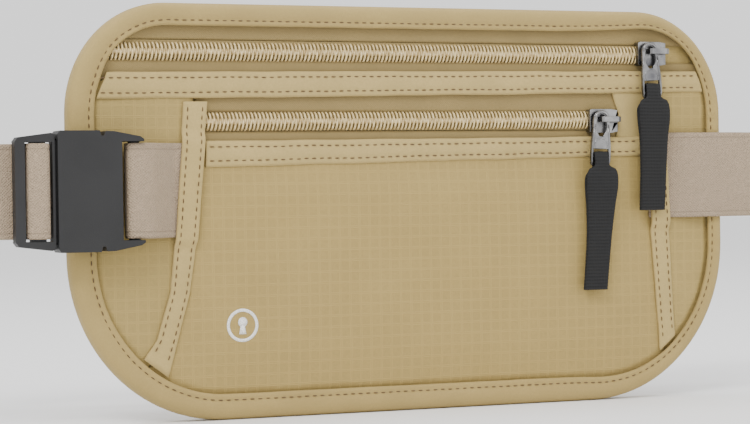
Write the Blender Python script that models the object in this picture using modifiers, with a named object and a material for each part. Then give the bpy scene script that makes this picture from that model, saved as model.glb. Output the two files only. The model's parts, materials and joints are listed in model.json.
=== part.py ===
"""Travel money belt: a flat two-pocket pouch on an elastic waist strap with a side-release buckle."""

import math

import bmesh
import bpy

MM = 0.001

# Pouch
POUCH_WIDTH = 280 * MM
POUCH_HEIGHT = 159 * MM
TOP_CORNER = (38.7 * MM, 42.1 * MM)
BOTTOM_CORNER = (60.5 * MM, 63.9 * MM)
CORNER_STEPS = 12
BINDING_WIDTH = 10 * MM
BINDING_NARROWING = 0.32
PANEL_INSET = 2.1 * MM
LINING_INSET = 4 * MM
PANEL_FRONT = -2.1 * MM
PANEL_BACK = -0.9 * MM
PILLOW_FRONT = -3.6 * MM
TAPE_FRONT = -0.7 * MM
TAPE_BACK = 0.3 * MM
TRIM_FRONT = -3.4 * MM
TRIM_BACK = -2.4 * MM
TRIM_LIFT = -1.7 * MM
FLOOR = -POUCH_HEIGHT / 2
GAP = 0.3 * MM

# Zips
COIL_HALF = 3.5 * MM
COIL_FRONT = -2.2 * MM
UPPER_ZIP_Z = 62 * MM
LOWER_ZIP_Z = 34.4 * MM
UPPER_COIL = (-126 * MM, 112.4 * MM)
LOWER_COIL = (-87 * MM, 90.2 * MM)
SLIDER_LENGTH = 12.8 * MM
SLIDER_FRONT = -4.6 * MM
PULLER_FRONT = -6.8 * MM
PULLER_BACK = -5.4 * MM
UPPER_PIVOT = (104.8 * MM, 62.9 * MM)
LOWER_PIVOT = (82.0 * MM, 35.0 * MM)

# Waist strap
STRAP_WIDTH = 35 * MM
STRAP_THICK = 1.3 * MM
STRAP_LEFT_Z = 8.6 * MM
STRAP_RIGHT_Z = 12.1 * MM
STRAP_REAR_Y = 60 * MM
BEND_LEFT_X = -171 * MM
BEND_RIGHT_X = 172 * MM
BEND_STEPS = 14
REAR_CUT_X = -129 * MM

# Buckle
BUCKLE_Z = 8.4 * MM
FEMALE_LEFT = -147.5 * MM
FEMALE_RIGHT = -123 * MM
FEMALE_TIP = -114.5 * MM
FEMALE_HALF = 22.4 * MM
FEMALE_FRONT = -15.5 * MM
FEMALE_BACK = -6 * MM
MALE_LEFT = -163.2 * MM
MALE_FRONT = -14.2 * MM
MALE_BACK = -8.9 * MM

# The shared frame has its origin at the middle of the footprint, on the floor.
ORIGIN = (0.0, -22.575 * MM, -FLOOR)


def clear_scene():
    for obj in list(bpy.data.objects):
        bpy.data.objects.remove(obj, do_unlink=True)


def collection(name):
    made = bpy.data.collections.new(name)
    bpy.context.scene.collection.children.link(made)
    return made


def material(name, colour, roughness, metallic=0.0):
    made = bpy.data.materials.new(name)
    made.use_nodes = True
    shader = made.node_tree.nodes["Principled BSDF"]
    shader.inputs["Base Color"].default_value = (*colour, 1)
    shader.inputs["Roughness"].default_value = roughness
    shader.inputs["Metallic"].default_value = metallic
    made.diffuse_color = (*colour, 1)
    return made


def solid(name, points, faces, look, bevel=0.0, into=None):
    """A closed mesh from points in pouch coordinates, with its faces turned outwards."""
    mesh = bpy.data.meshes.new(name)
    mesh.from_pydata([tuple(p[i] + ORIGIN[i] for i in range(3)) for p in points], [], faces)
    work = bmesh.new()
    work.from_mesh(mesh)
    bmesh.ops.remove_doubles(work, verts=work.verts, dist=1e-6)
    bmesh.ops.recalc_face_normals(work, faces=work.faces)
    work.to_mesh(mesh)
    work.free()
    obj = bpy.data.objects.new(name, mesh)
    (into or PARTS).objects.link(obj)
    if look:
        mesh.materials.append(look)
    if bevel:
        rounding = obj.modifiers.new("Edge rounding", "BEVEL")
        rounding.width = bevel
        rounding.segments = 2
        rounding.limit_method = "ANGLE"
        rounding.angle_limit = math.radians(35)
    return obj


def loft(name, rings, look, closed=False, bevel=0.0, into=None):
    """A solid through equal rings of points, capped at both ends unless it closes on itself."""
    size = len(rings[0])
    points = [p for ring in rings for p in ring]
    faces = []
    spans = len(rings) if closed else len(rings) - 1
    for i in range(spans):
        a = i * size
        b = ((i + 1) % len(rings)) * size
        for k in range(size):
            n = (k + 1) % size
            faces.append((a + k, a + n, b + n, b + k))
    if not closed:
        faces.append(tuple(range(size)))
        faces.append(tuple(range(len(points) - size, len(points))))
    return solid(name, points, faces, look, bevel, into)


def slab(name, loop, front, back, look, bevel=0.0, into=None):
    """A flat piece: a closed loop of (x, z) between two depths."""
    rings = [[(x, y, z) for x, z in loop] for y in (front, back)]
    return loft(name, rings, look, bevel=bevel, into=into)


def plan(name, loop, low, high, look, bevel=0.0, into=None):
    """A piece with one shape seen from above: a closed loop of (x, y) between two heights."""
    rings = [[(x, y, z) for x, y in loop] for z in (low, high)]
    return loft(name, rings, look, bevel=bevel, into=into)


def cutter(target, label, loop, front, back):
    """Cuts a flat shape out of the target."""
    tool = slab(target.name + "_" + label, loop, front, back, None, into=CUTTERS)
    tool.hide_render = True
    tool.display_type = "WIRE"
    cut = target.modifiers.new("Cut " + label, "BOOLEAN")
    cut.operation = "DIFFERENCE"
    cut.solver = "EXACT"
    cut.object = tool
    return tool


def join(target, other):
    """Joins another shape, kept as a helper, onto the target."""
    other.hide_render = True
    other.display_type = "WIRE"
    union = target.modifiers.new("Join " + other.name, "BOOLEAN")
    union.operation = "UNION"
    union.solver = "EXACT"
    union.object = other


def box_loop(left, right, low, high):
    return [(left, low), (right, low), (right, high), (left, high)]


def outline(inset):
    """The pouch's rounded outline as (x, z), anticlockwise from the right, moved inwards."""
    half_w = POUCH_WIDTH / 2
    half_h = POUCH_HEIGHT / 2
    corners = [
        (1, 1, TOP_CORNER, 0),
        (-1, 1, TOP_CORNER, 90),
        (-1, -1, BOTTOM_CORNER, 180),
        (1, -1, BOTTOM_CORNER, 270),
    ]
    loop = []
    for side, up, (rx, rz), start in corners:
        cx = side * (half_w - rx)
        cz = up * (half_h - rz)
        for i in range(CORNER_STEPS + 1):
            turn = math.radians(start + 90 * i / CORNER_STEPS)
            loop.append((cx + (rx - inset) * math.cos(turn), cz + (rz - inset) * math.sin(turn)))
    return loop


def clipped(loop, axis, limit, above):
    """The part of a loop on one side of a line of constant x (axis 0) or z (axis 1)."""
    kept = []
    for i, point in enumerate(loop):
        last = loop[i - 1]
        inside = (point[axis] >= limit) == above
        was_inside = (last[axis] >= limit) == above
        if inside != was_inside:
            share = (limit - last[axis]) / (point[axis] - last[axis])
            kept.append(tuple(last[k] + share * (point[k] - last[k]) for k in (0, 1)))
        if inside:
            kept.append(point)
    return kept


def band(low, high, left=-1.0, right=1.0):
    """The pouch's area inside the binding between two heights and two sides."""
    loop = clipped(outline(PANEL_INSET), 1, low, True)
    loop = clipped(loop, 1, high, False)
    loop = clipped(loop, 0, left, True)
    return clipped(loop, 0, right, False)


def between(points, z):
    """The x of a line of (x, z) points, running downwards, at one height."""
    for (x0, z0), (x1, z1) in zip(points, points[1:]):
        if z0 >= z >= z1:
            return x0 + (x1 - x0) * (z0 - z) / (z0 - z1)
    return points[0][0] if z > points[0][1] else points[-1][0]


def smooth(share):
    share = min(max(share, 0.0), 1.0)
    return share * share * (3 - 2 * share)


def mm(*pairs):
    return [tuple(v * MM for v in pair) for pair in pairs]


def normalised(v):
    size = math.sqrt(sum(c * c for c in v))
    return tuple(c / size for c in v)


def ribbon(name, path, widths, thick, look):
    """Webbing along a path of (x, y, z): its width stands as upright as the path lets it."""
    rings = []
    for i, here in enumerate(path):
        before = path[max(i - 1, 0)]
        after = path[min(i + 1, len(path) - 1)]
        along = normalised([after[k] - before[k] for k in range(3)])
        up = (0, 0, 1)
        across = normalised([up[k] - along[2] * along[k] for k in range(3)])
        face = (
            along[1] * across[2] - along[2] * across[1],
            along[2] * across[0] - along[0] * across[2],
            along[0] * across[1] - along[1] * across[0],
        )
        w = widths / 2
        t = thick / 2
        ring = []
        for a, b in ((-1, -1), (1, -1), (1, 1), (-1, 1)):
            ring.append(tuple(here[k] + a * w * across[k] + b * t * face[k] for k in range(3)))
        rings.append(ring)
    return loft(name, rings, look)


def bend(centre_x, side, front_y, rear_y, z):
    """Half a turn of strap from its front run to its rear run."""
    radius = (rear_y - front_y) / 2
    points = []
    for i in range(1, BEND_STEPS):
        turn = math.pi * i / BEND_STEPS
        x = centre_x + side * radius * math.sin(turn)
        y = front_y + radius * (1 - math.cos(turn))
        points.append((x, y, z))
    return points


clear_scene()
PARTS = collection("money_belt")
CUTTERS = collection("money_belt_cutters")

RIPSTOP = material("ripstop", (0.47, 0.37, 0.22), 0.8)
LINING = material("lining", (0.3, 0.3, 0.31), 0.6)
BINDING = material("binding", (0.49, 0.39, 0.24), 0.75)
TRIM = material("trim", (0.53, 0.44, 0.28), 0.75)
ZIP_TAPE = material("zip_tape", (0.36, 0.28, 0.16), 0.85)
COIL = material("coil", (0.52, 0.43, 0.29), 0.35)
WEBBING = material("webbing", (0.46, 0.37, 0.26), 0.85)
PLASTIC = material("plastic", (0.06, 0.06, 0.06), 0.5)
METAL = material("slider_metal", (0.42, 0.42, 0.43), 0.3, 1.0)
PULL_TAPE = material("pull_tape", (0.02, 0.02, 0.022), 0.85)


# Panels, from the back forwards
BACK_PAD_INSET = 11.5 * MM
BACK_PAD_FACE_INSET = 12.5 * MM
BACK_CLOTH_FRONT = 3.9 * MM
BACK_CLOTH_BACK = 5.4 * MM
BACK_PAD_FACE = 7.2 * MM
back_rings = []
for inset, y in (
    (PANEL_INSET, BACK_CLOTH_FRONT), (PANEL_INSET, BACK_CLOTH_BACK),
    (BACK_PAD_INSET, BACK_CLOTH_BACK), (BACK_PAD_FACE_INSET, BACK_PAD_FACE),
):
    back_rings.append([(x, y, z) for x, z in outline(inset)])
loft("back_panel", back_rings, RIPSTOP)
slab("shield_lining", outline(LINING_INSET), 2.4 * MM, 3.3 * MM, LINING)
slab("main_panel", outline(PANEL_INSET), 0.6 * MM, 1.8 * MM, RIPSTOP)

LEFT_SEAM = mm((-90.5, 50), (-90.5, 43), (-93, 10), (-95, -10), (-97.5, -30), (-103.5, -50), (-114, -64))
RIGHT_SEAM = mm((107, 50), (108, 43), (110, -5), (113, -58), (114, -64))
inner = outline(PANEL_INSET)
left_edge = clipped(clipped(inner, 0, LEFT_SEAM[-1][0], False), 1, LEFT_SEAM[0][1], False)
right_edge = clipped(clipped(inner, 0, RIGHT_SEAM[-1][0], True), 1, RIGHT_SEAM[0][1], False)


def seam_side(loop, seam, side):
    """A side panel: the outline's points beyond the seam, closed by the seam itself."""
    outer = [p for p in loop if side * (p[0] - between(seam, p[1])) > GAP and p[1] < seam[0][1] - GAP]
    outer.sort(key=lambda p: p[1])
    line = [(x + side * GAP / 2, z) for x, z in seam if z > outer[0][1]]
    top = clipped(clipped(inner, 1, seam[0][1], False), 0, 0, side > 0)
    corner = max(top, key=lambda p: (round(p[1], 6), side * p[0]))
    return outer + [corner] + line


def pocket_loop():
    left = [(x + GAP / 2, z) for x, z in LEFT_SEAM if 24 * MM > z > -58 * MM]
    right = [(x - GAP / 2, z) for x, z in RIGHT_SEAM if 24 * MM > z > -58 * MM]
    top_left = (between(LEFT_SEAM, 24 * MM) + GAP / 2, 24 * MM)
    top_right = (between(RIGHT_SEAM, 24 * MM) - GAP / 2, 24 * MM)
    low = [p for p in inner if p[1] < -58 * MM and -108 * MM < p[0] < 108 * MM]
    low.sort(key=lambda p: p[0])
    return [top_left] + left + low + right[::-1] + [top_right]


slab("left_side_panel", seam_side(left_edge, LEFT_SEAM, -1), PANEL_FRONT, PANEL_BACK, RIPSTOP)
slab("right_side_panel", seam_side(right_edge, RIGHT_SEAM, 1), PANEL_FRONT, PANEL_BACK, RIPSTOP)


def pillow(name, loop, look):
    """A panel with a flat rim that swells towards its middle."""
    xs = [x for x, z in loop]
    zs = [z for x, z in loop]
    cx = (min(xs) + max(xs)) / 2
    cz = (min(zs) + max(zs)) / 2
    half_x = (max(xs) - min(xs)) / 2
    half_z = (max(zs) - min(zs)) / 2
    rings = [[(x, PANEL_BACK, z) for x, z in loop]]
    for inset, swell in ((0, 0), (9, 0), (14, 0.45), (20, 0.8), (28, 1)):
        sx = 1 - inset * MM / half_x
        sz = 1 - inset * MM / half_z
        y = PANEL_FRONT + swell * (PILLOW_FRONT - PANEL_FRONT)
        rings.append([(cx + (x - cx) * sx, y, cz + (z - cz) * sz) for x, z in loop])
    return loft(name, rings, look)


pillow("front_pocket_panel", pocket_loop(), RIPSTOP)

# Zips: tapes either side of each coil
slab("upper_zip_tape_top", band(UPPER_ZIP_Z + COIL_HALF + GAP, 1), TAPE_FRONT, TAPE_BACK, ZIP_TAPE)
slab("upper_zip_tape_low", band(49.5 * MM, UPPER_ZIP_Z - COIL_HALF - GAP), TAPE_FRONT, TAPE_BACK, ZIP_TAPE)
LOWER_LEFT = -90 * MM
LOWER_RIGHT = 107 * MM
top = band(LOWER_ZIP_Z + COIL_HALF + GAP, 49.2 * MM, LOWER_LEFT, LOWER_RIGHT)
low = band(21 * MM, LOWER_ZIP_Z - COIL_HALF - GAP, LOWER_LEFT, LOWER_RIGHT)
slab("lower_zip_tape_top", top, TAPE_FRONT, TAPE_BACK, ZIP_TAPE)
slab("lower_zip_tape_low", low, TAPE_FRONT, TAPE_BACK, ZIP_TAPE)


def coil(name, span, z):
    """The zip's closed chain: a rounded bar with its crown forwards."""
    half = COIL_HALF
    section = ((TAPE_BACK, -half), (-1.2 * MM, -half), (-1.9 * MM, -0.72 * half))
    section += ((COIL_FRONT, -0.3 * half), (COIL_FRONT, 0.3 * half))
    section += ((-1.9 * MM, 0.72 * half), (-1.2 * MM, half), (TAPE_BACK, half))
    return loft(name, [[(x, y, z + dz) for y, dz in section] for x in span], COIL)


coil("upper_coil", UPPER_COIL, UPPER_ZIP_Z)
coil("lower_coil", LOWER_COIL, LOWER_ZIP_Z)
GARAGE = mm((88.6, 48.6), (91.2, 41), (92.6, 37.4), (91.6, 30), (90.8, 24.4), (106.4, 24.4), (106.4, 48.6))
slab("zip_garage", GARAGE, PANEL_FRONT, PANEL_BACK, TRIM)

# Hem strips beside the zips, and the vertical strips over the side seams
UPPER_HEM = mm((-129.2, 42.6), (131.6, 46.3), (128.2, 55.4), (-124.6, 53))
LOWER_HEM = mm((-86.6, 17), (103.4, 20.2), (103, 28.2), (-86.4, 27))
slab("upper_hem", UPPER_HEM, TRIM_FRONT, TRIM_BACK, TRIM, 0.3 * MM)
slab("lower_hem", LOWER_HEM, TRIM_FRONT, TRIM_BACK, TRIM, 0.3 * MM)


def strip(name, left, right, heights, lifted):
    """A folded strip over a seam, lifted where the strap passes beneath it."""
    rings = []
    stations = [((between(left, z), z), (between(right, z), z)) for z in heights]
    stations.append((left[-1], right[-1]))
    for (x0, z0), (x1, z1) in stations:
        z = (z0 + z1) / 2
        edge = 4 * MM
        rise = smooth((z - lifted[0] + edge) / edge) * smooth((lifted[1] + edge - z) / edge)
        front = TRIM_FRONT + rise * TRIM_LIFT
        back = TRIM_BACK + rise * TRIM_LIFT
        rings.append([(x0, front, z0), (x1, front, z1), (x1, back, z1), (x0, back, z0)])
    return loft(name, rings, TRIM)


LEFT_STRIP_OUT = mm((-95.3, 42), (-97.5, 10), (-99.5, -10), (-101.5, -30), (-107, -48), (-112.4, -55))
LEFT_STRIP_IN = mm((-85.5, 42), (-88.5, 10), (-90.5, -10), (-93.5, -30), (-98.5, -48), (-102.6, -62.4))
RIGHT_STRIP_IN = mm((103.8, 44.4), (105.5, -5), (109.2, -52), (109.4, -60.4))
RIGHT_STRIP_OUT = mm((112.4, 44.4), (114.5, -5), (116.6, -52), (116.9, -54))
LEFT_HEIGHTS = [z * MM for z in (42, 31, 29, 27, -10, -12, -14, -22, -30, -40, -48)]
RIGHT_HEIGHTS = [z * MM for z in (44.4, 35, 33, 31, -7, -9, -11, -30, -50)]
strip("left_strip", LEFT_STRIP_OUT, LEFT_STRIP_IN, LEFT_HEIGHTS, (-10 * MM, 27 * MM))
strip("right_strip", RIGHT_STRIP_IN, RIGHT_STRIP_OUT, RIGHT_HEIGHTS, (-7 * MM, 31 * MM))


def edge_binding():
    """Tape folded over the pouch's edge: a channel swept round the outline."""
    lip = BINDING_WIDTH / MM
    section = ((lip, -3.0), (lip - 0.5, -3.7), (6, -4.2), (2.5, -3.8), (0.9, -2.7), (0, -0.4))
    section += ((0, 3.2), (0.9, 5.7), (2.5, 6.6), (6, 6.9), (lip - 0.5, 6.6), (lip, 6.1))
    section += ((lip - 0.1, 5.75), (1.7, 5.75), (1.7, -2.45), (lip - 0.1, -2.45))
    insets = {}
    for depth, _ in section:
        insets[depth] = outline(depth * MM)
    rings = []
    for i, (edge_x, _) in enumerate(outline(0)):
        share = 1 - BINDING_NARROWING * smooth((edge_x - 60 * MM) / (80 * MM))
        ring = []
        for depth, y in section:
            x0, z0 = insets[0][i]
            x1, z1 = insets[depth][i]
            ring.append((x0 + (x1 - x0) * share, y * MM, z0 + (z1 - z0) * share))
        rings.append(ring)
    return loft("edge_binding", rings, BINDING, closed=True)


edge_binding()

# Female half of the buckle: a flat sleeve with side windows, and ears that hold the strap's bar


def mirrored(loop, z):
    """A loop made whole by its mirror image about one height."""
    return loop + [(x, 2 * z - h) for x, h in loop[::-1]]


def up(*pairs):
    return [(x * MM, BUCKLE_Z + h * MM) for x, h in pairs]


half = FEMALE_HALF / MM
FEMALE_EDGE = up((-147.5, half - 1.2), (-146.6, half), (-131.4, half), (-130.9, half - 2), (-129.9, half - 2))
FEMALE_EDGE += up((-129.3, half - 0.2), (-126, half - 0.3), (-116, half - 2.2), (-114.5, half - 3.2))
FEMALE_EDGE += up((-114.5, half - 4.1), (-115.6, half - 4.1))
female = slab("buckle_female", mirrored(FEMALE_EDGE, BUCKLE_Z), FEMALE_FRONT, FEMALE_BACK, PLASTIC)
slot_half = (half - 4.1) * MM
bar = (-119.2 * MM, -115.6 * MM)
strap_gap = box_loop(FEMALE_RIGHT, bar[0], BUCKLE_Z - slot_half, BUCKLE_Z + slot_half)
ear_gap = box_loop(FEMALE_RIGHT, -113 * MM, BUCKLE_Z - slot_half, BUCKLE_Z + slot_half)
cutter(female, "strap_slot", strap_gap, -20 * MM, 0)
cutter(female, "bar_front", ear_gap, -20 * MM, -12.4 * MM)
cutter(female, "bar_back", ear_gap, -9.2 * MM, 0)
cavity = box_loop(-149 * MM, -127 * MM, BUCKLE_Z - 19.4 * MM, BUCKLE_Z + 19.4 * MM)
cutter(female, "cavity", cavity, -13.3 * MM, -8.2 * MM)
for sign, label in ((1, "window_top"), (-1, "window_low")):
    reach = sorted((BUCKLE_Z + sign * 15 * MM, BUCKLE_Z + sign * 26 * MM))
    cutter(female, label, box_loop(-144.6 * MM, -131.9 * MM, *reach), -13.3 * MM, -8.2 * MM)

# Male half: an adjuster frame, a shoulder and a guide tongue
MALE_FRAME = up((-163.2, 18.4), (-162, 20), (-149.6, 21.6), (-148.2, 21))
male = slab("buckle_male", mirrored(MALE_FRAME, BUCKLE_Z), MALE_FRONT, MALE_BACK, PLASTIC, into=None)
tongue_edge = up((-149.2, 18.9), (-143, 18.9), (-143, 3), (-134, 2.4), (-132, 1))
tongue = slab("male_tongue", mirrored(tongue_edge, BUCKLE_Z), -12.9 * MM, -9.1 * MM, PLASTIC, into=CUTTERS)
join(male, tongue)
slot = (BUCKLE_Z - 18.2 * MM, BUCKLE_Z + 18.2 * MM)
cutter(male, "outer_slot", box_loop(-159.4 * MM, -157.1 * MM, *slot), -20 * MM, 0)
cutter(male, "inner_slot", box_loop(-151.5 * MM, -149.2 * MM, *slot), -20 * MM, 0)
cutter(male, "bar_front", box_loop(-158 * MM, -150 * MM, *slot), -20 * MM, -13.2 * MM)
cutter(male, "bar_back", box_loop(-165 * MM, -150 * MM, *slot), -9.6 * MM, 0)

PRONG = ((-142.7, 8.6), (-142.7, 19.1), (-144.2, 19.3), (-144.2, 20.8), (-140, 21.9), (-134.6, 20.8))
PRONG += ((-132.8, 17.4), (-131.6, 13.4), (-133.6, 11.2), (-137.6, 9))
for name, sign in (("prong_upper", 1), ("prong_lower", -1)):
    loop = [(x * MM, BUCKLE_Z + sign * h * MM) for x, h in PRONG]
    slab(name, loop, -12.8 * MM, -8.7 * MM, PLASTIC)

# Waist strap
STUB = mm((-106.5, -7), (-110, -7.6), (-114, -8.25), (-118.4, -8.25), (-119.8, -8.8), (-120.2, -10.2))
STUB += mm((-120.2, -11.4), (-119.8, -12.8), (-118.4, -13.35), (-116.6, -13.35), (-114.2, -13))
STUB += mm((-111, -11.9), (-108.2, -10.1), (-105.4, -7.8), (-102.4, -5.4))
STUB += mm((-100.2, -3.7), (-98.4, -3.15), (-91.6, -3.05))
ribbon("stub_strap", [(x, y, BUCKLE_Z) for x, y in STUB], STRAP_WIDTH + 0.6 * MM, STRAP_THICK, WEBBING)

FOLD = mm((-172, -6.35), (-154, -6.35), (-151.6, -6.8), (-150.5, -8.1), (-150.35, -9.6), (-150.35, -12.6))
FOLD += mm((-150.9, -13.8), (-152.2, -14.2), (-156.2, -14.2), (-157.6, -13.8), (-158.2, -12.6))
FOLD += mm((-158.3, -10), (-158.9, -8.8), (-160.4, -8.05), (-166, -7.95))
ribbon("strap_fold", [(x, y, STRAP_LEFT_Z) for x, y in FOLD], STRAP_WIDTH, STRAP_THICK, WEBBING)

left_front = -7.95 * MM
path = [(-166.3 * MM, left_front, STRAP_LEFT_Z), (BEND_LEFT_X, left_front, STRAP_LEFT_Z)]
path += bend(BEND_LEFT_X, -1, left_front, STRAP_REAR_Y, STRAP_LEFT_Z)
path += [(BEND_LEFT_X, STRAP_REAR_Y, STRAP_LEFT_Z), (-150 * MM, STRAP_REAR_Y, STRAP_LEFT_Z)]
path += [(REAR_CUT_X, STRAP_REAR_Y, STRAP_LEFT_Z)]
ribbon("strap_left", path, STRAP_WIDTH, STRAP_THICK, WEBBING)

SAG_LEFT = (-124 * MM, -10 * MM)
SAG_RIGHT = (152 * MM, 38 * MM)
RESTING_Z = FLOOR + STRAP_WIDTH / 2
REAR_SPLIT = 158 * MM
rear = [(REAR_CUT_X + GAP, STRAP_REAR_Y, STRAP_LEFT_Z)]
for i in range(13):
    share = i / 12
    x = SAG_LEFT[0] + share * (SAG_LEFT[1] - SAG_LEFT[0])
    rear.append((x, STRAP_REAR_Y, STRAP_LEFT_Z + smooth(share) * (RESTING_Z - STRAP_LEFT_Z)))
for i in range(13):
    share = i / 12
    x = SAG_RIGHT[1] + share * (SAG_RIGHT[0] - SAG_RIGHT[1])
    rear.append((x, STRAP_REAR_Y, RESTING_Z + smooth(share) * (STRAP_RIGHT_Z - RESTING_Z)))
rear.append((REAR_SPLIT, STRAP_REAR_Y, STRAP_RIGHT_Z))
ribbon("strap_rear", rear, STRAP_WIDTH, STRAP_THICK, WEBBING)

RIGHT_RUN = mm((105.4, -3.05), (113.6, -3.05), (118, -3.6), (124, -4.9), (130, -5.6), (140, -5.9), (160, -6))
path = [(x, y, STRAP_RIGHT_Z) for x, y in RIGHT_RUN]
path.append((BEND_RIGHT_X, RIGHT_RUN[-1][1], STRAP_RIGHT_Z))
path += bend(BEND_RIGHT_X, 1, RIGHT_RUN[-1][1], STRAP_REAR_Y, STRAP_RIGHT_Z)
path += [(BEND_RIGHT_X, STRAP_REAR_Y, STRAP_RIGHT_Z), (REAR_SPLIT + GAP, STRAP_REAR_Y, STRAP_RIGHT_Z)]
ribbon("strap_right", path, STRAP_WIDTH, STRAP_THICK, WEBBING)


def slider(name, pivot, zip_z):
    """A zip slider: a channel over the coil, and a bridge that holds the puller's eye."""
    left = pivot[0] - 4.4 * MM
    right = left + SLIDER_LENGTH
    body = [(left, 4.4), (left + 1 * MM, 4.9), (right - 3 * MM, 4.9), (right, 4.4)]
    loop = [(x, zip_z + h * MM) for x, h in body] + [(x, zip_z - h * MM) for x, h in body[::-1]]
    made = slab(name, loop, SLIDER_FRONT, -1.05 * MM, METAL)
    half = 4 * MM
    channel = box_loop(left - 5 * MM, right + 5 * MM, zip_z - half, zip_z + half)
    cutter(made, "channel", channel, -2.6 * MM, 5 * MM)
    arch = ((-0.8, -4), (-0.8, -8.2), (-0.1, -8.9), (6.6, -8.9), (8.1, -8), (8.3, -4), (6.8, -4))
    arch += ((6.8, -7.2), (0.9, -7.2), (0.9, -4))
    loop = [(pivot[0] + x * MM, y * MM) for x, y in arch]
    half = 1.1 * MM
    bridge = plan(name + "_bridge", loop, pivot[1] - half, pivot[1] + half, METAL, into=CUTTERS)
    join(made, bridge)
    return made


def at(pivot, tilt, u, v):
    """A point of the puller: u to the right and v down from the pivot, turned by the tilt."""
    c = math.cos(tilt)
    s = math.sin(tilt)
    return (pivot[0] + (u * c + v * s) * MM, pivot[1] + (u * s - v * c) * MM)


def puller(name, pivot, tilt):
    """The metal pull: an eye, a plaque, and two legs joined by the bar that holds the tape."""
    top = [(3.7 * math.cos(math.radians(a)), -3.7 * math.sin(math.radians(a))) for a in range(0, 181, 20)]
    edge = top + [(-3.8, 4), (-4.3, 9), (-4.5, 14), (-4.3, 18), (-3.9, 19), (-3.4, 18.4), (-3.4, 15.9)]
    edge += [(3.4, 15.9), (3.4, 18.4), (3.9, 19), (4.3, 18), (4.5, 14), (4.3, 9), (3.8, 4)]
    made = slab(name, [at(pivot, tilt, u, v) for u, v in edge], PULLER_FRONT, PULLER_BACK, METAL)
    eye = [(2 * math.cos(math.radians(a)), -2 * math.sin(math.radians(a))) for a in range(0, 181, 20)]
    eye += [(-2.5, 2.6), (-2.2, 4.8), (-0.8, 7), (0.8, 7), (2.2, 4.8), (2.5, 2.6)]
    cutter(made, "eye", [at(pivot, tilt, u, v) for u, v in eye], -20 * MM, 0)
    gap = [(-3.4, 12.1), (3.4, 12.1), (3.4, 14.7), (-3.4, 14.7)]
    cutter(made, "tape_gap", [at(pivot, tilt, u, v) for u, v in gap], -20 * MM, 0)
    return made


TAPE_NECK_HALF = 2.8 * MM


def pull_tape(name, pivot, tilt, length, lean):
    """The doubled fabric pull, looped over the puller's bar."""
    bar_x, bar_z = at(pivot, tilt, 0, 15.3)
    neck = TAPE_NECK_HALF / MM
    front = ((length, -8, 5.6), (30, -8, 6), (9, -8, 6.3), (6.9, -7.9, 6.2), (4.8, -7.6, neck), (0, -7.65, neck))
    over = ((-1.3, -7.2, neck), (-1.75, -6.1, neck), (-1.3, -5, neck), (0, -4.55, neck), (3, -4.6, neck))
    back = ((4.8, -5.4, neck), (6.9, -6.5, 6.2), (9, -6.8, 6.3), (30, -6.8, 6), (length, -6.8, 5.6))
    path = [(v * MM, y * MM, half * MM) for v, y, half in front + over + back]
    rings = []
    for i, (v, y, half) in enumerate(path):
        before = path[max(i - 1, 0)]
        after = path[min(i + 1, len(path) - 1)]
        along = normalised((after[0] - before[0], after[1] - before[1], 0))
        dy = along[0] * 0.425 * MM
        dz = along[1] * 0.425 * MM
        x = bar_x + lean * max(v, 0)
        z = bar_z - v
        rings.append([
            (x - half, y - dy, z - dz), (x + half, y - dy, z - dz),
            (x + half, y + dy, z + dz), (x - half, y + dy, z + dz),
        ])
    return loft(name, rings, PULL_TAPE)


UPPER_TILT = math.radians(3)
LOWER_TILT = math.radians(-3)
slider("slider_upper", UPPER_PIVOT, UPPER_ZIP_Z)
slider("slider_lower", LOWER_PIVOT, LOWER_ZIP_Z)
puller("puller_upper", UPPER_PIVOT, UPPER_TILT)
puller("puller_lower", LOWER_PIVOT, LOWER_TILT)
pull_tape("pull_tape_upper", UPPER_PIVOT, UPPER_TILT, 50, -0.035)
pull_tape("pull_tape_lower", LOWER_PIVOT, LOWER_TILT, 54, -0.02)
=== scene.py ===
import json
import math

import bmesh
import bpy
from mathutils import Matrix, Vector, noise


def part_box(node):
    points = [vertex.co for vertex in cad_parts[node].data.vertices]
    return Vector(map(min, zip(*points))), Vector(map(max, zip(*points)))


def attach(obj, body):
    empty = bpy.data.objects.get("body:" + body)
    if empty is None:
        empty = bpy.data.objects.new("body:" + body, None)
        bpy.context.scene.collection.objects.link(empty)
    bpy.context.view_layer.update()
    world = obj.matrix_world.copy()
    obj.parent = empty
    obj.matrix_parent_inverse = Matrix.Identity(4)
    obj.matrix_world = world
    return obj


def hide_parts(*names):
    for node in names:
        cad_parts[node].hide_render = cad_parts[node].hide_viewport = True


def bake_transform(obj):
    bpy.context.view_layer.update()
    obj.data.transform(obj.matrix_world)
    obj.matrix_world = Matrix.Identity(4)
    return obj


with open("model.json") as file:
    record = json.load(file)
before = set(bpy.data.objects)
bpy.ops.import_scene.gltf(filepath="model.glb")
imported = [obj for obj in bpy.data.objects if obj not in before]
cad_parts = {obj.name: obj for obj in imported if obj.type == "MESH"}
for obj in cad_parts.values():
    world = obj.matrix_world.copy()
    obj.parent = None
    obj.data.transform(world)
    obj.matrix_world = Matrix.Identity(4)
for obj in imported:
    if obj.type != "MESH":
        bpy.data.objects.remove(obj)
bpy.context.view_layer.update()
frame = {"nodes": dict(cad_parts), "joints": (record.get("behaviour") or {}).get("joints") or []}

# The pouch's own frame in millimetres: x right, y back, z up, from the middle of its outline.
BIND_LOW, BIND_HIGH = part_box("edge_binding")
MM = 0.001
BINDING_STANDS_PROUD = 4.2
MID_X = (BIND_LOW.x + BIND_HIGH.x) / 2
MID_Z = (BIND_LOW.z + BIND_HIGH.z) / 2
CLOTH_Y = BIND_LOW.y + BINDING_STANDS_PROUD * MM
HALF_W = (BIND_HIGH.x - BIND_LOW.x) / 2 / MM
HALF_H = (BIND_HIGH.z - BIND_LOW.z) / 2 / MM


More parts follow.
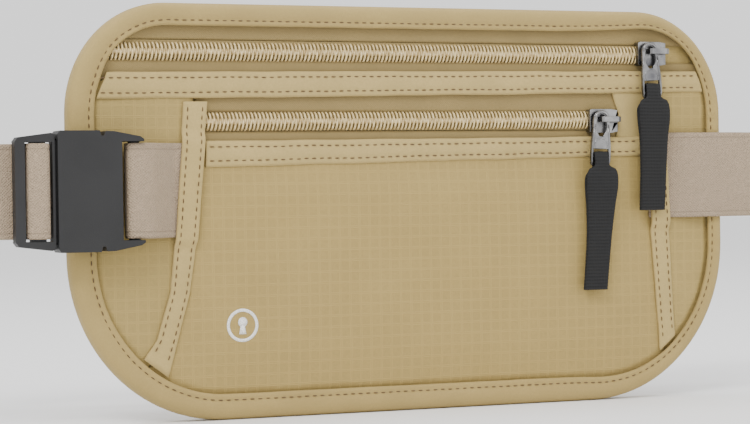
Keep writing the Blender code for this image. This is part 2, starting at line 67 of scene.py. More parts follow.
def at(x, y, z):
    return Vector((MID_X + x * MM, CLOTH_Y + y * MM, MID_Z + z * MM))


def span(node):
    """A CAD node's box in the pouch's millimetres."""
    low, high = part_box(node)
    shift = Vector((MID_X, CLOTH_Y, MID_Z))
    return (low - shift) / MM, (high - shift) / MM


# ---------------------------------------------------------------- materials


class Look:
    """A node material with a few shorthands. Pattern coordinates are millimetres on the cloth."""

    def __init__(self, name, roughness=0.8, metallic=0.0, sheen=0.0, coat=0.0, ior=1.45):
        self.mat = bpy.data.materials.new(name)
        self.mat.use_nodes = True
        self.tree = self.mat.node_tree
        self.shader = self.tree.nodes["Principled BSDF"]
        self.shader.inputs["Roughness"].default_value = roughness
        self.shader.inputs["Metallic"].default_value = metallic
        self.shader.inputs["Sheen Weight"].default_value = sheen
        self.shader.inputs["Sheen Roughness"].default_value = 0.5
        self.shader.inputs["Coat Weight"].default_value = coat
        self.shader.inputs["IOR"].default_value = ior
        self.uv = None

    def node(self, kind, **settings):
        made = self.tree.nodes.new(kind)
        for key, value in settings.items():
            setattr(made, key, value)
        return made

    def put(self, value, socket):
        if isinstance(value, bpy.types.NodeSocket):
            self.tree.links.new(value, socket)
        else:
            socket.default_value = value

    def math(self, op, a, b=0.0, c=0.0):
        made = self.node("ShaderNodeMath", operation=op)
        for value, socket in zip((a, b, c), made.inputs):
            self.put(value, socket)
        return made.outputs[0]

    def flat(self):
        """The (u, v) of the pattern, in millimetres."""
        if self.uv is None:
            made = self.node("ShaderNodeUVMap", uv_map="cloth")
            split = self.node("ShaderNodeSeparateXYZ")
            self.put(made.outputs[0], split.inputs[0])
            self.uv = (split.outputs[0], split.outputs[1], made.outputs[0])
        return self.uv

    def space(self):
        return self.node("ShaderNodeTexCoord").outputs["Object"]

    def noise(self, scale, detail=2.0, where=None, rough=0.5):
        made = self.node("ShaderNodeTexNoise")
        self.put(where if where is not None else self.space(), made.inputs["Vector"])
        made.inputs["Scale"].default_value = scale
        made.inputs["Detail"].default_value = detail
        made.inputs["Roughness"].default_value = rough
        return made.outputs[0]

    def stripes(self, along, pitch, duty, soft=0.08):
        """1 on thin lines of the given share of the pitch, fading to 0 between them."""
        part = self.math("FRACT", self.math("DIVIDE", along, pitch))
        away = self.math("ABSOLUTE", self.math("SUBTRACT", part, 0.5))
        made = self.node("ShaderNodeMapRange", interpolation_type="SMOOTHSTEP")
        self.put(away, made.inputs["Value"])
        made.inputs["From Min"].default_value = duty / 2 + soft
        made.inputs["From Max"].default_value = max(duty / 2 - soft, 0.0)
        return made.outputs[0]

    def wave(self, along, pitch, phase=0.0):
        turn = self.math("MULTIPLY_ADD", along, 2 * math.pi / pitch, phase)
        return self.math("SINE", turn)

    def remap(self, value, low, high, to_low, to_high):
        made = self.node("ShaderNodeMapRange")
        self.put(value, made.inputs["Value"])
        for key, number in zip(("From Min", "From Max", "To Min", "To Max"), (low, high, to_low, to_high)):
            made.inputs[key].default_value = number
        return made.outputs[0]

    def mix(self, share, a, b, blend="MIX"):
        made = self.node("ShaderNodeMix", data_type="RGBA", blend_type=blend)
        self.put(share, made.inputs[0])
        for value, socket in ((a, made.inputs[6]), (b, made.inputs[7])):
            if isinstance(value, tuple):
                value = (*value, 1.0)
            self.put(value, socket)
        return made.outputs[2]

    def colour(self, value):
        if isinstance(value, tuple):
            value = (*value, 1.0)
        self.put(value, self.shader.inputs["Base Color"])
        return self

    def bump(self, height, distance, strength=1.0):
        made = self.node("ShaderNodeBump")
        self.put(height, made.inputs["Height"])
        made.inputs["Distance"].default_value = distance
        made.inputs["Strength"].default_value = strength
        last = self.shader.inputs["Normal"]
        if last.is_linked:
            self.put(last.links[0].from_socket, made.inputs["Normal"])
        self.tree.links.new(made.outputs[0], last)
        return self


def srgb(r, g, b):
    return tuple(((v / 255 + 0.055) / 1.055) ** 2.4 for v in (r, g, b))


def shade(colour, factor):
    return tuple(min(c * factor, 1.0) for c in colour)


def ripstop(name, colour, grid=4.3, contrast=1.16):
    look = Look(name, roughness=0.72, sheen=0.04)
    u, v, _ = look.flat()
    lines = []
    for along in (u, v):
        first = look.stripes(along, grid, 0.07, 0.05)
        second = look.stripes(look.math("ADD", along, 0.62), grid, 0.07, 0.05)
        lines.append(look.math("MAXIMUM", first, second))
    net = look.math("MAXIMUM", *lines)
    weave = look.math("MULTIPLY", look.wave(u, 0.62), look.wave(v, 0.62))
    cloud = look.noise(38.0, 3.0)
    fine = look.noise(900.0, 2.0)
    base = look.mix(look.remap(cloud, 0.3, 0.7, 0.0, 1.0), shade(colour, 0.94), shade(colour, 1.06))
    base = look.mix(look.remap(fine, 0.3, 0.7, 0.0, 0.55), base, shade(colour, 0.84))
    thread = look.math("MULTIPLY", net, look.remap(fine, 0.35, 0.65, 0.35, 0.9))
    base = look.mix(thread, base, shade(colour, contrast))
    look.colour(base)
    relief_of = look.math("ADD", look.math("MULTIPLY", weave, 0.35), look.math("MULTIPLY", net, 0.8))
    look.bump(relief_of, 0.00016, 0.7)
    look.bump(cloud, 0.0006, 0.35)
    return look.mat


def plain_cloth(name, colour, thread=0.5, sheen=0.05):
    look = Look(name, roughness=0.76, sheen=sheen)
    u, v, _ = look.flat()
    weave = look.math("MULTIPLY", look.wave(u, thread), look.wave(v, thread))
    cloud = look.noise(60.0, 3.0)
    fine = look.noise(1400.0, 2.0)
    base = look.mix(look.remap(cloud, 0.3, 0.7, 0.0, 1.0), shade(colour, 0.93), shade(colour, 1.06))
    base = look.mix(look.remap(fine, 0.3, 0.7, 0.0, 0.5), base, shade(colour, 0.86))
    look.colour(base)
    look.bump(weave, 0.0001, 0.5)
    look.bump(cloud, 0.0005, 0.4)
    return look.mat


def webbing(name, colour, width):
    """Elastic webbing: fine ribs along it, short floats across it, and a firm edge."""
    look = Look(name, roughness=0.8, sheen=0.05)
    u, v, _ = look.flat()
    rib = look.wave(v, 1.1)
    cross = look.wave(u, 1.2)
    fleck = look.noise(1900.0, 1.0)
    height = look.math("ADD", look.math("MULTIPLY", rib, cross), look.remap(fleck, 0.3, 0.7, -1.0, 1.0))
    edge = look.math("ABSOLUTE", v)
    groove = look.math("SUBTRACT", edge, width / 2 - 2.1)
    groove = look.remap(look.math("ABSOLUTE", groove), 0.0, 0.35, 1.0, 0.0)
    fine = look.noise(1100.0, 2.0)
    # Painted highlight on the raised ribs and floats and painted shade between them, mixed with the flecks'
    # random tone.
    base = look.mix(look.remap(height, -1.4, 1.4, 0.0, 1.0), shade(colour, 0.86), shade(colour, 1.1))
    base = look.mix(look.remap(fine, 0.3, 0.7, 0.0, 0.45), base, shade(colour, 0.82))
    # Painted shade along the grooves near both edges, where the bump also sinks.
    base = look.mix(look.math("MULTIPLY", groove, 0.5), base, shade(colour, 0.6))
    look.colour(base)
    look.bump(look.math("SUBTRACT", height, look.math("MULTIPLY", groove, 1.5)), 0.00022, 0.8)
    return look.mat


SAND = srgb(160, 137, 79)
MAT = {
    "ripstop": ripstop("ripstop_cloth", SAND),
    "ripstop_side": ripstop("ripstop_side_cloth", srgb(159, 137, 80)),
    "binding": plain_cloth("binding_cloth", srgb(166, 143, 86)),
    "trim": plain_cloth("hem_cloth", srgb(179, 156, 99), 0.45),
    "zip_tape": plain_cloth("zip_tape_cloth", srgb(138, 118, 72), 0.9),
    "webbing": webbing("strap_webbing", srgb(166, 146, 122), 35.0),
}


def coil_look():
    look = Look("coil_nylon", roughness=0.32, sheen=0.0, coat=0.2)
    cloud = look.noise(700.0, 2.0)
    look.colour(look.mix(look.remap(cloud, 0.3, 0.7, 0, 1), srgb(176, 150, 98), srgb(222, 200, 148)))
    look.bump(cloud, 0.00004, 0.4)
    return look.mat


def thread_look(name, colour):
    look = Look(name, roughness=0.6, sheen=0.2)
    fine = look.noise(2600.0, 2.0)
    look.colour(look.mix(look.remap(fine, 0.3, 0.7, 0, 1), shade(colour, 0.7), shade(colour, 1.25)))
    look.bump(fine, 0.00008, 0.6)
    return look.mat


def plastic_look():
    look = Look("buckle_acetal", roughness=0.5)
    grain = look.noise(1500.0, 3.0, rough=0.65)
    cloud = look.noise(45.0, 3.0)
    base = look.mix(look.remap(cloud, 0.3, 0.7, 0, 1), srgb(22, 22, 23), srgb(30, 30, 31))
    look.colour(look.mix(look.remap(grain, 0.6, 0.75, 0, 0.35), base, srgb(60, 60, 60)))
    look.put(look.remap(grain, 0.3, 0.7, 0.42, 0.6), look.shader.inputs["Roughness"])
    look.bump(grain, 0.00006, 0.6)
    return look.mat


def metal_look():
    look = Look("nickel_plate", roughness=0.26, metallic=1.0)
    scratch = look.noise(500.0, 4.0, rough=0.7)
    cloud = look.noise(120.0, 2.0)
    look.colour(look.mix(look.remap(cloud, 0.3, 0.7, 0, 1), srgb(88, 88, 91), srgb(150, 149, 148)))
    look.put(look.remap(scratch, 0.3, 0.7, 0.2, 0.38), look.shader.inputs["Roughness"])
    look.bump(scratch, 0.00003, 0.5)
    return look.mat


def pull_tape_look():
    look = Look("black_grosgrain", roughness=0.75, sheen=0.02)
    u, v, _ = look.flat()
    rib = look.wave(u, 1.35)
    fine = look.noise(1500.0, 2.0)
    thread = look.math("MULTIPLY", look.wave(v, 0.7), 0.25)
    height = look.math("ADD", rib, thread)
    # Painted highlight on the ribs and painted shade between them.
    base = look.mix(look.remap(height, -1.0, 1.0, 0, 1), srgb(0, 0, 0), srgb(13, 13, 14))
    look.colour(look.mix(look.remap(fine, 0.35, 0.7, 0, 0.25), base, srgb(22, 22, 23)))
    look.bump(thread, 0.0001, 0.6)
    return look.mat


def air_mesh_look():
    look = Look("back_air_mesh", roughness=0.85, sheen=0.3)
    u, v, _ = look.flat()
    rows = look.math("MULTIPLY", look.wave(u, 2.4), look.wave(v, 2.4))
    hole = look.remap(rows, 0.2, 0.7, 0, 1)
    fine = look.noise(1200.0, 2.0)
    base = look.mix(look.remap(fine, 0.3, 0.7, 0, 1), srgb(148, 126, 78), srgb(166, 143, 86))
    # Painted shade in the mesh's holes, where the bump also sinks.
    look.colour(look.mix(look.math("MULTIPLY", hole, 0.75), base, srgb(92, 72, 38)))
    look.bump(rows, -0.0004, 0.8)
    return look.mat


MAT["coil"] = coil_look()
MAT["stitch"] = thread_look("stitch_thread", srgb(88, 64, 30))
MAT["plastic"] = plastic_look()
MAT["metal"] = metal_look()
MAT["pull_tape"] = pull_tape_look()
MAT["back"] = air_mesh_look()
MAT["print"] = thread_look("white_print", srgb(228, 226, 220))
MAT["lining"] = plain_cloth("lining_cloth", srgb(148, 149, 152), 0.8, 0.1)

# ---------------------------------------------------------------- mesh tools


def piece(name, points, faces, look, body, nodes=(), uvs=None, smooth=True):
    """A new piece from points in the pouch's millimetres, riding on a body."""
    mesh = bpy.data.meshes.new(name)
    mesh.from_pydata([at(*p) for p in points], [], faces)
    if uvs is not None:
        layer = mesh.uv_layers.new(name="cloth")
        for loop in mesh.loops:
            layer.data[loop.index].uv = uvs[loop.vertex_index]
    work = bmesh.new()
    work.from_mesh(mesh)
    bmesh.ops.recalc_face_normals(work, faces=work.faces)
    work.to_mesh(mesh)
    work.free()
    for polygon in mesh.polygons:
        polygon.use_smooth = smooth
    obj = bpy.data.objects.new(name, mesh)
    bpy.context.scene.collection.objects.link(obj)
    mesh.materials.append(MAT[look])
    if body:
        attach(obj, body)
    if nodes:
        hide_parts(*nodes)
    return obj


def grid_faces(rows, columns, offset=0, wrap_rows=False, wrap_columns=False):
    faces = []
    for i in range(rows if wrap_rows else rows - 1):
        for j in range(columns if wrap_columns else columns - 1):
            i2 = (i + 1) % rows
            j2 = (j + 1) % columns
            faces.append(tuple(offset + k for k in (
                i * columns + j, i * columns + j2, i2 * columns + j2, i2 * columns + j)))
    return faces


def tube(rings, closed=False):
    """Points and faces through equal rings, with end caps unless it closes on itself."""
    size = len(rings[0])
    points = [p for ring in rings for p in ring]
    faces = grid_faces(len(rings), size, wrap_rows=closed, wrap_columns=True)
    if not closed:
        faces.append(tuple(range(size)))
        faces.append(tuple(range(len(points) - size, len(points))))
    return points, faces


def smooth(share):
    share = min(max(share, 0.0), 1.0)
    return share * share * (3 - 2 * share)


def ripple(x, z, size, seed=0.0):
    return noise.noise(Vector((x / size, z / size, seed)))


def outline(inset, steps=26, straight=2.6):
    """The pouch's rounded outline, anticlockwise from the right, with points along its straights too."""
    loop = []
    corners = [(1, 1, TOP, 0), (-1, 1, TOP, 90), (-1, -1, LOW, 180), (1, -1, LOW, 270)]
    arcs = []
    for side, up, (rx, rz), start in corners:
        cx = side * (HALF_W - rx)
        cz = up * (HALF_H - rz)
        arc = []
        for i in range(steps + 1):
            turn = math.radians(start + 90 * i / steps)
            nx = math.cos(turn) / rx
            nz = math.sin(turn) / rz
            size = math.hypot(nx, nz)
            x = cx + rx * math.cos(turn) - inset * nx / size
            z = cz + rz * math.sin(turn) - inset * nz / size
            arc.append((x, z))
        arcs.append(arc)
    for k, arc in enumerate(arcs):
        loop += arc
        after = arcs[(k + 1) % 4][0]
        x0, z0 = arc[-1]
        count = max(int(math.hypot(after[0] - x0, after[1] - z0) / straight), 1)
        if inset:
            count = STRAIGHT_COUNTS[k]
        else:
            STRAIGHT_COUNTS.append(count)
        for i in range(1, count):
            loop.append((x0 + (after[0] - x0) * i / count, z0 + (after[1] - z0) * i / count))
    return loop


STRAIGHT_COUNTS = []
TOP = (38.7, 42.1)
LOW = (60.5, 63.9)
RIM = outline(0)


def width_share(x, z):
    """The binding shows narrower along the top, and towards the right, where it rolls back."""
    return (1 - 0.32 * smooth((x - 60) / 80)) * (1 - 0.13 * smooth((z - 52) / 18))


def span_at(loop, z):
    """The left and right x where a height crosses a closed loop."""
    xs = []
    for i, (x1, z1) in enumerate(loop):
        x0, z0 = loop[i - 1]
        if (z0 - z) * (z1 - z) <= 0 and z0 != z1:
            xs.append(x0 + (x1 - x0) * (z - z0) / (z1 - z0))
    return min(xs), max(xs)


def panel(name, loop, front, thick, nx, nz, look, nodes, body="pouch", edge=1.2, rounding=0.6):
    """A cloth panel inside a loop: its front follows a function of (x, z), and its edges roll back."""
    zs = [z for _, z in loop]
    low, high = min(zs) + 0.02, max(zs) - 0.02
    sheets = []
    uvs = []
    deep = thick if callable(thick) else lambda x, z: thick
    for back in (False, True):
        for j in range(nz + 1):
            z = low + (high - low) * j / nz
            left, right = span_at(loop, z)
            for i in range(nx + 1):
                x = left + (right - left) * i / nx
                away = min(x - left, right - x, z - low, high - z)
                y = front(x, z) + rounding * (1 - smooth(away / edge))
                sheets.append((x, y + (deep(x, z) if back else 0), z))
                uvs.append((x, z))
    columns = nx + 1
    rows = nz + 1
    size = columns * rows
    faces = grid_faces(rows, columns) + grid_faces(rows, columns, size)
    rim = [j for j in range(columns)]
    rim += [i * columns + columns - 1 for i in range(1, rows)]
    rim += [(rows - 1) * columns + j for j in range(columns - 2, -1, -1)]
    rim += [i * columns for i in range(rows - 2, 0, -1)]
    for k, a in enumerate(rim):
        b = rim[(k + 1) % len(rim)]
        faces.append((a, b, size + b, size + a))
    return piece(name, sheets, faces, look, body, nodes, uvs)


def stitches(name, rows, pitch=3.2, length=1.9, half=0.24, lift=0.2):
    """Thread stitches: short spindles laid along each row, which is a list of (x, y, z) on the cloth."""
    points = []
    faces = []
    for row in rows:
        row = [Vector(p) for p in row]
        gone = [0.0]
        for a, b in zip(row, row[1:]):
            gone.append(gone[-1] + (b - a).length)
        count = int(gone[-1] / pitch)

        def along(s):
            for k in range(len(row) - 1):
                if s <= gone[k + 1] or k == len(row) - 2:
                    share = (s - gone[k]) / max(gone[k + 1] - gone[k], 1e-9)
                    return row[k].lerp(row[k + 1], share)

        for n in range(count):
            start = along((n + 0.5) * pitch - length / 2)
            end = along((n + 0.5) * pitch + length / 2)
            run = (end - start).normalized()
            across = run.cross(Vector((0, 1, 0))).normalized()
            out = Vector((0, -1, 0))
            wander = 0.12 * noise.noise(Vector((n * 1.7, row[0].x, row[0].z)))
            base = len(points)
            for share, size in ((0.0, 0.25), (0.18, 0.85), (0.5, 1.0), (0.82, 0.85), (1.0, 0.25)):
                rise = lift * math.sin(math.pi * share) - 0.08
                middle = start.lerp(end, share) + across * wander + out * rise
                for k in range(6):
                    turn = math.pi * k / 3
                    side = across * half * size * math.cos(turn)
                    points.append(tuple(middle + side + out * half * size * math.sin(turn)))
            for i in range(4):
                for k in range(6):
                    a = base + i * 6 + k
                    b = base + i * 6 + (k + 1) % 6
                    faces.append((a, b, b + 6, a + 6))
            faces.append(tuple(base + k for k in range(6)))
            faces.append(tuple(base + 24 + k for k in range(6)))
    return piece(name, points, faces, "stitch", "pouch")


# ---------------------------------------------------------------- binding


def binding():
    section = ((10, -2.9), (9.9, -3.35), (9.4, -3.7), (8.6, -3.9), (7.7, -3.62), (6.8, -3.95), (5.4, -4.2))
    section += ((3.8, -4.15), (2.4, -3.8), (1.2, -3.0), (0.35, -1.7), (0, -0.2), (0, 2.8), (0.4, 4.4))
    section += ((1.4, 5.8), (3, 6.6), (5.5, 6.9), (7.7, 6.5), (9.2, 6.7), (10, 6.2), (9.9, 5.75))
    section += ((1.9, 5.75), (1.9, -2.4), (9.9, -2.4))
    insets = {d: outline(d) if d else RIM for d, _ in section}
    rings = []
    uvs = []
    gone = 0.0
    for i, (rim_x, rim_z) in enumerate(RIM):
        last = RIM[i - 1]
        gone += math.hypot(rim_x - last[0], rim_z - last[1])
        share = width_share(rim_x, rim_z)
        bent = smooth((abs(rim_x) - 70) / 40) * smooth((abs(rim_z) - 10) / 35)
        ring = []
        for k, (depth, y) in enumerate(section):
            x0, z0 = RIM[i]
            x1, z1 = insets[depth][i]
            wobble = 0.35 * noise.noise(Vector((gone / 14, depth / 9, 3.1)))
            pucker = (0.16 + 0.28 * bent) * noise.noise(Vector((gone / 2.6, depth / 11, 7.7)))
            shown = 1.0 if k < 11 or k > 12 else 0.4
            inner = smooth(depth / 4)
            if k > 20:
                shown = 0.0
            f = share + (0.03 * wobble if k < 6 else 0)
            away = -1 if y < 1 else 1
            lift = away * shown * inner * (wobble * 0.5 + pucker * -away)
            ring.append((x0 + (x1 - x0) * f, y - lift, z0 + (z1 - z0) * f))
            uvs.append((gone, depth + y))
        rings.append(ring)
    points, faces = tube(rings, closed=True)
    piece("binding_tape", points, faces, "binding", "pouch", ["edge_binding"], uvs)
    seam = outline(7.7)
    row = []
    for i, (x, z) in enumerate(seam):
        share = width_share(*RIM[i])
        x0, z0 = RIM[i]
        row.append((x0 + (x - x0) * share, -3.75, z0 + (z - z0) * share))
    row.append(row[0])
    stitches("binding_stitches", [row])
    stitches("binding_back_stitches", [[(x, 6.85, z) for x, _, z in row]])


binding()

# ---------------------------------------------------------------- panels

INNER = outline(2.2)


def between(points, z):
    for (x0, z0), (x1, z1) in zip(points, points[1:]):
        if z0 >= z >= z1:
            return x0 + (x1 - x0) * (z0 - z) / (z0 - z1)
    return points[0][0] if z > points[0][1] else points[-1][0]


LEFT_SEAM = [(-90.5, 50), (-90.5, 43), (-93, 10), (-95, -10), (-97.5, -30), (-103.5, -50), (-114, -64)]
RIGHT_SEAM = [(107, 50), (108, 43), (110, -5), (113, -58), (114, -64)]


def strip_loop(left, right, low, high, steps=80):
    """A closed loop between two edges given as functions of z."""
    zs = [low + (high - low) * i / steps for i in range(steps + 1)]
    return [(right(z), z) for z in zs] + [(left(z), z) for z in zs[::-1]]


def inner_left(z):
    return span_at(INNER, z)[0]


def inner_right(z):
    return span_at(INNER, z)[1]


def rim_distance(x, z):
    """How far a point lies inside the pouch's outline."""
    rx, rz = TOP if z > 0 else LOW
    over_x = abs(x) - (HALF_W - rx)
    over_z = abs(z) - (HALF_H - rz)
    if over_x > 0 and over_z > 0:
        return (1 - math.hypot(over_x / rx, over_z / rz)) * (rx + rz) / 2
    return min(HALF_W - abs(x), HALF_H - abs(z))


def tucked(x, z):
    """How far a panel sinks where it goes under the binding's inner edge."""
    return 0.95 * (1 - smooth((rim_distance(x, z) - 10 * width_share(x, z) + 0.4) / 2.4))


def wrinkled(base, amount, size, seed, stretch=1.0):
    def front(x, z):
        folds = ripple(x, z * stretch, size, seed) + 0.5 * ripple(x, z * stretch, size * 0.43, seed + 5)
        return base + amount * folds + (tucked(x, z) if base < -2 else 0)
    return front


def pocket_front(x, z):
    """The front pocket: a shallow swell, creased beside its seams and along its foot."""
    left = x - between(LEFT_SEAM, z)
    right = between(RIGHT_SEAM, z) - x
    foot = z - span_low(x)
    top = 24 - z
    swell = smooth((left - 5) / 22) * smooth((right - 5) / 22)
    swell = swell * smooth((foot - 7) / 20) * smooth((top - 6) / 14)
    y = -2.1 - 1.5 * swell
    y += 0.8 * swell * (ripple(x, z, 46, 2.0) + 0.5 * ripple(x, z, 19, 4.0))
    pull = math.exp(-left / 16) + math.exp(-right / 16)
    y += 0.55 * pull * smooth((min(left, right) - 4) / 4) * ripple(x * 0.4, z, 6.5, 9.0)
    y += 0.55 * math.exp(-max(foot - 9, 0) / 10) * smooth((foot - 8) / 3) * ripple(x, z * 0.4, 8, 12.0)
    return y + tucked(x, z)


def span_low(x):
    """The lower rim's z under an x."""
    rx, rz = LOW
    reach = HALF_W - rx
    if abs(x) <= reach:
        return -HALF_H
    share = min((abs(x) - reach) / rx, 1.0)
    return -HALF_H + rz * (1 - math.sqrt(1 - share * share))


panel("side_cloth_left", strip_loop(inner_left, lambda z: between(LEFT_SEAM, z) - 0.2, -62.5, 50),
      wrinkled(-2.1, 0.3, 22, 1.0), 1.0, 40, 90, "ripstop_side", ["left_side_panel"])
panel("side_cloth_right", strip_loop(lambda z: between(RIGHT_SEAM, z) + 0.2, inner_right, -62.5, 50),
      wrinkled(-2.1, 0.3, 20, 6.0), 1.0, 30, 90, "ripstop_side", ["right_side_panel"])


def pocket_left(z):
    return max(between(LEFT_SEAM, z) + 0.2, inner_left(z))


def pocket_right(z):
    return min(between(RIGHT_SEAM, z) - 0.2, inner_right(z))


panel("pocket_cloth", strip_loop(pocket_left, pocket_right, -77.2, 23.8), pocket_front, 1.0, 180, 100,
      "ripstop", ["front_pocket_panel"])


def flat_panel(name, low, high, left, right, base, thick, look, nodes, amount=0.12,
               cells=(200, 8), seed=0.0):
    return panel(name, strip_loop(left, right, low, high, 30), wrinkled(base, amount, 9, seed, 0.5), thick,
                 cells[0], cells[1], look, nodes, edge=0.6, rounding=0.2)


UP_Z = (span("upper_coil")[0].z + span("upper_coil")[1].z) / 2
LO_Z = (span("lower_coil")[0].z + span("lower_coil")[1].z) / 2
flat_panel("zip_tape_a", UP_Z + 3.6, 77.2, inner_left, inner_right, -0.75, 0.9, "zip_tape",
           ["upper_zip_tape_top"], cells=(220, 12))
flat_panel("zip_tape_b", 49.5, UP_Z - 3.6, inner_left, inner_right, -0.75, 0.9, "zip_tape",
           ["upper_zip_tape_low"], seed=3.0)
flat_panel("zip_tape_c", LO_Z + 3.6, 49.2, lambda z: -90, lambda z: 107, -0.75, 0.9, "zip_tape",
           ["lower_zip_tape_top"], seed=5.0)
flat_panel("zip_tape_d", 21, LO_Z - 3.6, lambda z: -90, lambda z: 107, -0.75, 0.9, "zip_tape",
           ["lower_zip_tape_low"], seed=8.0)
flat_panel("front_backing", -77, 77, inner_left, inner_right, 0.7, 0.9, "ripstop_side",
           ["main_panel"], cells=(60, 40))


def back_depth(x, z):
    """The back's thickness: thin under the binding, then a soft pad quilted in wide diamonds."""
    inside = rim_distance(x, z)
    rise = smooth((inside - 10.4) / 4.5)
    lines = [abs(((x + side * z * 1.3) / 34) % 1 - 0.5) * 34 for side in (1, -1)]
    quilt = sum(math.exp(-(d / 2.2) ** 2) for d in lines) * smooth((inside - 16) / 5)
    return 1.3 + rise * (1.75 - 0.55 * min(quilt, 1.0) + 0.12 * ripple(x, z, 30, 8.8))


panel("back_cloth", INNER, lambda x, z: 4.0, back_depth, 240, 140, "back", ["back_panel"],
      rounding=0.0)

# ---------------------------------------------------------------- hems, strips and the zip's end fold


def hem(name, corners, rows, nodes, seed):
    """A folded strip with two stitched rows, which dip between their puckers."""
    (xa, za), (xb, zb), (xc, zc), (xd, zd) = corners

    def low(x):
        return za + (zb - za) * (x - xa) / (xb - xa)

    def high(x):
        return zd + (zc - zd) * (x - xd) / (xc - xd)

    nx, nz = 260, 14
    points = []
    uvs = []
    for back in (0, 1):
        for j in range(nz + 1):
            t = j / nz
            for i in range(nx + 1):
                s = i / nx
                x = (xa + (xb - xa) * s) * (1 - t) + (xd + (xc - xd) * s) * t
                wander = 0.28 * ripple(x, 0, 17, seed + t)
                z = low(x) * (1 - t) + high(x) * t + wander
                rise = 1 - (2 * t - 1) ** 6
                dip = sum(math.exp(-((t - r) * (high(x) - low(x)) / 0.8) ** 2) for r in rows)
                pucker = 0.16 * ripple(x, z * 0.3, 1.9, seed) + 0.22 * ripple(x, z * 0.4, 8.5, seed + 2)
                y = -2.45 - 0.95 * rise + 0.34 * dip - pucker * rise
                points.append((x, y if not back else -2.35, z))
                uvs.append((x, z * 1.0))
    columns, lines = nx + 1, nz + 1
    size = columns * lines
    faces = grid_faces(lines, columns) + grid_faces(lines, columns, size)
    rim = list(range(columns)) + [i * columns + nx for i in range(1, lines)]
    rim += [nz * columns + j for j in range(nx - 1, -1, -1)] + [i * columns for i in range(nz - 1, 0, -1)]
    for k, a in enumerate(rim):
        b = rim[(k + 1) % len(rim)]
        faces.append((a, b, size + b, size + a))
    piece(name, points, faces, "trim", "pouch", nodes, uvs)
    lines = []
    for r in rows:
        row = []
        for i in range(61):
            x = xa + 1 + (xb - xa - 2) * i / 60
            row.append((x, -3.2, low(x) * (1 - r) + high(x) * r + 0.28 * ripple(x, 0, 17, seed + r)))
        lines.append(row)
    stitches(name + "_stitches", lines)


hem("hem_cloth_upper", ((-129.2, 42.8), (131.6, 46.4), (128.4, 55.2), (-124.8, 53)), (0.22, 0.78),
    ["upper_hem"], 1.5)
hem("hem_cloth_lower", ((-86.6, 17), (103.4, 20.2), (103, 28.2), (-86.4, 27)), (0.24, 0.76),
    ["lower_hem"], 4.5)


def strip(name, left, right, heights, lifted, nodes, seed):
    """A folded strip over a side seam, with two stitched rows."""
    stations = []
    for z in heights:
        stations.append(((between(left, z), z), (between(right, z), z)))
    stations.append((left[-1], right[-1]))
    dense = []
    for (a, b), (c, d) in zip(stations, stations[1:]):
        steps = max(int((a[1] - c[1]) / 1.3), 1)
        for i in range(steps):
            s = i / steps
            dense.append((tuple(a[k] + (c[k] - a[k]) * s for k in (0, 1)),
                          tuple(b[k] + (d[k] - b[k]) * s for k in (0, 1))))
    dense.append(stations[-1])
    rings = []
    uvs = []
    stitched = ([], [])
    for (x0, z0), (x1, z1) in dense:
        zm = (z0 + z1) / 2
        rise = smooth((zm - lifted[0] + 4) / 4) * smooth((lifted[1] + 4 - zm) / 4)
        ring = []
        for t, y in ((0, -2.45), (0.02, -3.0), (0.08, -3.35), (0.2, -3.3), (0.35, -3.5), (0.5, -3.55),
                     (0.65, -3.5), (0.8, -3.3), (0.92, -3.35), (0.98, -3.0), (1, -2.45)):
            x = x0 + (x1 - x0) * t + 0.2 * ripple(zm, t, 12, seed)
            z = z0 + (z1 - z0) * t
            pucker = 0.14 * ripple(zm, t * 3, 1.9, seed) + 0.2 * ripple(zm, t * 2, 8, seed + 3)
            ring.append((x, y - 1.7 * rise - (pucker if 0 < t < 1 else 0), z))
            uvs.append((x, z))
        rings.append(ring)
        for k, t in enumerate((0.2, 0.8)):
            stitched[k].append((x0 + (x1 - x0) * t, -3.42 - 1.7 * rise, z0 + (z1 - z0) * t))
    points, faces = tube(rings)
    piece(name, points, faces, "trim", "pouch", nodes, uvs)
    stitches(name + "_stitches", [stitched[0][1:-1], stitched[1][1:-1]])


STRIP_LEFT_OUT = [(-95.3, 42), (-97.5, 10), (-99.5, -10), (-101.5, -30), (-107, -48), (-112.4, -55)]
STRIP_LEFT_IN = [(-85.5, 42), (-88.5, 10), (-90.5, -10), (-93.5, -30), (-98.5, -48), (-102.6, -62.4)]
STRIP_RIGHT_IN = [(103.8, 44.4), (105.5, -5), (109.2, -52), (109.4, -60.4)]
STRIP_RIGHT_OUT = [(112.4, 44.4), (114.5, -5), (116.6, -52), (116.9, -54)]
strip("strip_cloth_left", STRIP_LEFT_OUT, STRIP_LEFT_IN, (42, 31, 27, -10, -14, -22, -30, -40, -48),
      (-10, 27), ["left_strip"], 2.2)
strip("strip_cloth_right", STRIP_RIGHT_IN, STRIP_RIGHT_OUT, (44.4, 35, 31, -7, -11, -30, -50),
      (-7, 31), ["right_strip"], 6.1)


def garage_left(z):
    return between([(88.6, 48.6), (91.2, 41), (92.6, 37.4), (91.6, 30), (90.8, 24.4)], z)


panel("zip_end_fold", strip_loop(garage_left, lambda z: 106.4, 24.4, 48.6), wrinkled(-2.2, 0.25, 9, 3.3),
      0.9, 24, 30, "trim", ["zip_garage"], edge=1.6, rounding=0.5)

# ---------------------------------------------------------------- zip coils


